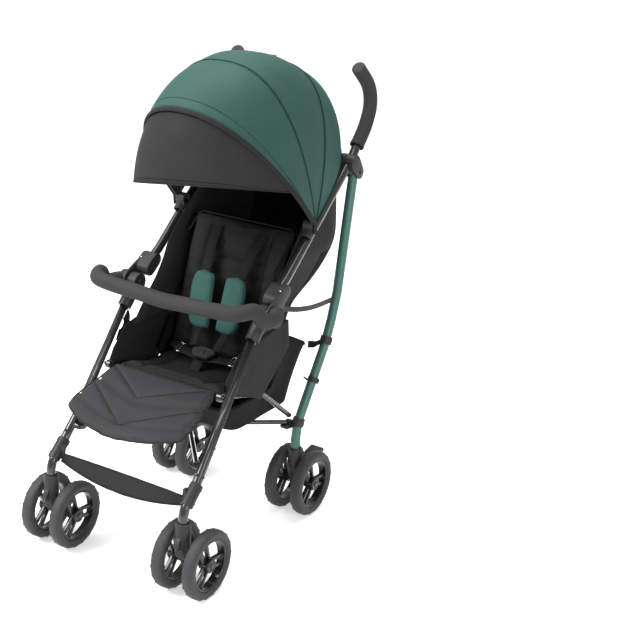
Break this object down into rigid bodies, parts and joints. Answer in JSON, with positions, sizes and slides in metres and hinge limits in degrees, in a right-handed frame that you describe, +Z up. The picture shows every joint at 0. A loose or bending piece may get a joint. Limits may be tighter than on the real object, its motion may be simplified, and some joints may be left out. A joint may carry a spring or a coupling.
{
  "type": "umbrella stroller",
  "caption": "Lightweight folding stroller with a cloth canopy and seat, foam bumper bar and handles, paired swivel front wheels, braked paired rear wheels and an under-seat basket.",
  "frame": {"origin": "on the floor under the middle of the stroller's overall box", "axes": "+Z up, -Y towards the front wheels, +X towards the left hand of a seated child"},
  "size_m": [0.46, 0.7584, 1.0492],
  "materials": {
    "black_tube": "semi-gloss black powder coat",
    "green_tube": "satin muted green powder coat",
    "grip_foam": "fine-pored dark foam",
    "dark_plastic": "lightly textured dark grey",
    "rim_plastic": "moulded black with a soft sheen",
    "tyre_foam": "matt dark grey foam",
    "green_cloth": "woven muted green polyester",
    "grey_cloth": "woven charcoal polyester",
    "webbing": "woven black webbing"
  },
  "bodies": {
    "frame_left": {"upper_tube_left": "black_tube", "grip_left": "grip_foam", "upper_hinge_left": "dark_plastic", "arm_hub_left": "dark_plastic", "canopy_clip_left": "dark_plastic", "canopy_bow_rear": "dark_plastic", "canopy_cover": "green_cloth", "back_cover": "grey_cloth"},
    "frame_right": {"upper_tube_right": "black_tube", "grip_right": "grip_foam", "upper_hinge_right": "dark_plastic", "arm_hub_right": "dark_plastic", "canopy_clip_right": "dark_plastic"},
    "leg_left": {"leg_knuckle_left": "dark_plastic", "front_leg_left": "black_tube", "caster_socket_left": "dark_plastic", "foot_strap": "grey_cloth"},
    "leg_right": {"leg_knuckle_right": "dark_plastic", "front_leg_right": "black_tube", "caster_socket_right": "dark_plastic"},
    "rear_left": {"rear_leg_left": "green_tube", "rear_housing_left": "dark_plastic"},
    "rear_right": {"rear_leg_right": "green_tube", "rear_housing_right": "dark_plastic"},
    "seat_left": {"seat_rail_left": "black_tube", "seat_pad": "grey_cloth", "basket": "grey_cloth", "harness_webbing": "webbing", "harness_buckle": "dark_plastic"},
    "seat_right": {"seat_rail_right": "black_tube"},
    "swivel_left": {"brace_swivel_left": "dark_plastic"},
    "swivel_right": {"brace_swivel_right": "dark_plastic"},
    "brace_left": {"brace_bar_left": "black_tube"},
    "brace_right": {"brace_bar_right": "black_tube"},
    "caster_left": {"caster_fork_left": "dark_plastic"},
    "caster_right": {"caster_fork_right": "dark_plastic"},
    "wheels_front_left": {"wheelset_front_left": "rim_plastic", "tyre_front_left_outer": "tyre_foam", "tyre_front_left_inner": "tyre_foam"},
    "wheels_front_right": {"wheelset_front_right": "rim_plastic", "tyre_front_right_outer": "tyre_foam", "tyre_front_right_inner": "tyre_foam"},
    "wheels_rear_left": {"wheelset_rear_left": "rim_plastic", "tyre_rear_left_outer": "tyre_foam", "tyre_rear_left_inner": "tyre_foam"},
    "wheels_rear_right": {"wheelset_rear_right": "rim_plastic", "tyre_rear_right_outer": "tyre_foam", "tyre_rear_right_inner": "tyre_foam"},
    "pedal_left": {"brake_pedal_left": "dark_plastic"},
    "pedal_right": {"brake_pedal_right": "dark_plastic"},
    "bumper": {"bumper_bar": "grip_foam"},
    "button_left": {"bumper_button_left": "dark_plastic"},
    "button_right": {"bumper_button_right": "dark_plastic"},
    "canopy_front": {"canopy_bow_front": "dark_plastic", "sun_visor": "grey_cloth"},
    "canopy_middle": {"canopy_bow_middle": "dark_plastic"},
    "backrest": {"back_pad": "grey_cloth", "shoulder_pad_left": "green_cloth", "shoulder_pad_right": "green_cloth"},
    "calf_rest": {"leg_rest": "grey_cloth"}
  },
  "joints": [
    {"name": "fold", "type": "hinge", "parent": "frame_left", "child": "leg_left", "pos_m": [0.168, -0.04923, 0.532], "axis": [-1, 0, 0], "range_deg": [0, 135], "deforming": ["canopy_cover", "sun_visor", "canopy_bow_front", "canopy_bow_middle", "canopy_bow_rear", "back_cover", "back_pad", "shoulder_pad_left", "shoulder_pad_right", "seat_pad", "harness_webbing", "harness_buckle", "basket", "leg_rest", "foot_strap", "bumper_bar"]},
    {"name": "width", "type": "slide", "parent": "frame_left", "child": "frame_right", "axis": [1, 0, 0], "range_m": [0, 0.12]},
    {"name": "fold_right_leg", "type": "hinge", "parent": "frame_right", "child": "leg_right", "pos_m": [-0.168, -0.04923, 0.532], "axis": [-1, 0, 0], "range_deg": [0, 135]},
    {"name": "fold_rear_left", "type": "hinge", "parent": "frame_left", "child": "rear_left", "pos_m": [0.168, 0.29987, 0.76816], "axis": [-1, 0, 0], "range_deg": [0, 33]},
    {"name": "fold_rear_right", "type": "hinge", "parent": "frame_right", "child": "rear_right", "pos_m": [-0.168, 0.29987, 0.76816], "axis": [-1, 0, 0], "range_deg": [0, 33]},
    {"name": "rail_left_pivot", "type": "hinge", "parent": "leg_left", "child": "seat_left", "pos_m": [0.1467, -0.17023, 0.381], "axis": [1, 0, 0], "range_deg": [0, 48.1]},
    {"name": "rail_right_pivot", "type": "hinge", "parent": "leg_right", "child": "seat_right", "pos_m": [-0.1467, -0.17023, 0.381], "axis": [1, 0, 0], "range_deg": [0, 48.1]},
    {"name": "swivel_left_turn", "type": "hinge", "parent": "rear_left", "child": "swivel_left", "pos_m": [0.141, 0.11977, 0.215], "axis": [-1, 0, 0], "range_deg": [0, 60]},
    {"name": "swivel_right_turn", "type": "hinge", "parent": "rear_right", "child": "swivel_right", "pos_m": [-0.141, 0.11977, 0.215], "axis": [-1, 0, 0], "range_deg": [0, 60]},
    {"name": "brace_left_scissor", "type": "hinge", "parent": "swivel_left", "child": "brace_left", "pos_m": [0.141, 0.10224, 0.22379], "axis": [0, 0.1263, 0.992], "range_deg": [0, 16.8]},
    {"name": "brace_right_scissor", "type": "hinge", "parent": "swivel_right", "child": "brace_right", "pos_m": [-0.141, 0.1006, 0.21089], "axis": [0, -0.1263, -0.992], "range_deg": [0, 16.8]},
    {"name": "bumper_lift", "type": "hinge", "parent": "frame_left", "child": "bumper", "pos_m": [0, -0.04923, 0.532], "axis": [-1, 0, 0], "range_deg": [0, 97.3]},
    {"name": "caster_left_swivel", "type": "hinge", "parent": "leg_left", "child": "caster_left", "pos_m": [0.175, -0.33423, 0.1], "axis": [0, 0, 1], "continuous": true},
    {"name": "caster_right_swivel", "type": "hinge", "parent": "leg_right", "child": "caster_right", "pos_m": [-0.175, -0.33423, 0.1], "axis": [0, 0, 1], "continuous": true},
    {"name": "front_left_axle", "type": "hinge", "parent": "caster_left", "child": "wheels_front_left", "pos_m": [0.175, -0.30423, 0.075], "axis": [1, 0, 0], "continuous": true},
    {"name": "front_right_axle", "type": "hinge", "parent": "caster_right", "child": "wheels_front_right", "pos_m": [-0.175, -0.30423, 0.075], "axis": [1, 0, 0], "continuous": true},
    {"name": "rear_left_axle", "type": "hinge", "parent": "rear_left", "child": "wheels_rear_left", "pos_m": [0.161, 0.13427, 0.075], "axis": [1, 0, 0], "continuous": true},
    {"name": "rear_right_axle", "type": "hinge", "parent": "rear_right", "child": "wheels_rear_right", "pos_m": [-0.161, 0.13427, 0.075], "axis": [1, 0, 0], "continuous": true},
    {"name": "brake_left_press", "type": "hinge", "parent": "rear_left", "child": "pedal_left", "pos_m": [0.161, 0.15277, 0.112], "axis": [-1, 0, 0], "range_deg": [0, 25]},
    {"name": "brake_right_press", "type": "hinge", "parent": "rear_right", "child": "pedal_right", "pos_m": [-0.161, 0.15277, 0.112], "axis": [-1, 0, 0], "range_deg": [0, 25]},
    {"name": "button_left_press", "type": "slide", "parent": "bumper", "child": "button_left", "axis": [-1, 0, 0], "range_m": [0, 0.0025], "stiffness_N_per_m": 400},
    {"name": "button_right_press", "type": "slide", "parent": "frame_right", "child": "button_right", "axis": [1, 0, 0], "range_m": [0, 0.0025], "stiffness_N_per_m": 400},
    {"name": "canopy_fold", "type": "hinge", "parent": "frame_left", "child": "canopy_front", "pos_m": [0, 0.11977, 0.688], "axis": [-1, 0, 0], "range_deg": [0, 52], "deforming": ["canopy_cover"]},
    {"name": "canopy_middle_follow", "type": "hinge", "parent": "frame_left", "child": "canopy_middle", "pos_m": [0, 0.11977, 0.688], "axis": [-1, 0, 0], "range_deg": [0, 26]},
    {"name": "recline", "type": "hinge", "parent": "frame_left", "child": "backrest", "pos_m": [0, 0.03177, 0.362], "axis": [-1, 0, 0], "range_deg": [0, 28]},
    {"name": "calf_rest_tilt", "type": "hinge", "parent": "leg_left", "child": "calf_rest", "pos_m": [0, -0.15523, 0.3855], "axis": [-1, 0, 0], "range_deg": [-16, 26]}
  ],
  "couplings": [
    {"joint": "width", "follows": "fold", "m_per_rad": 0.05093},
    {"joint": "fold_right_leg", "follows": "fold", "ratio": 1},
    {"joint": "fold_rear_left", "follows": "fold", "ratio": 0.244},
    {"joint": "fold_rear_right", "follows": "fold", "ratio": 0.244},
    {"joint": "rail_left_pivot", "follows": "fold", "ratio": 0.356},
    {"joint": "rail_right_pivot", "follows": "fold", "ratio": 0.356},
    {"joint": "swivel_left_turn", "follows": "fold", "ratio": 0.443},
    {"joint": "swivel_right_turn", "follows": "fold", "ratio": 0.443},
    {"joint": "brace_left_scissor", "follows": "fold", "ratio": 0.124},
    {"joint": "brace_right_scissor", "follows": "fold", "ratio": 0.124},
    {"joint": "bumper_lift", "follows": "fold", "ratio": 0.72},
    {"joint": "canopy_middle_follow", "follows": "canopy_fold", "ratio": 0.5}
  ]
}
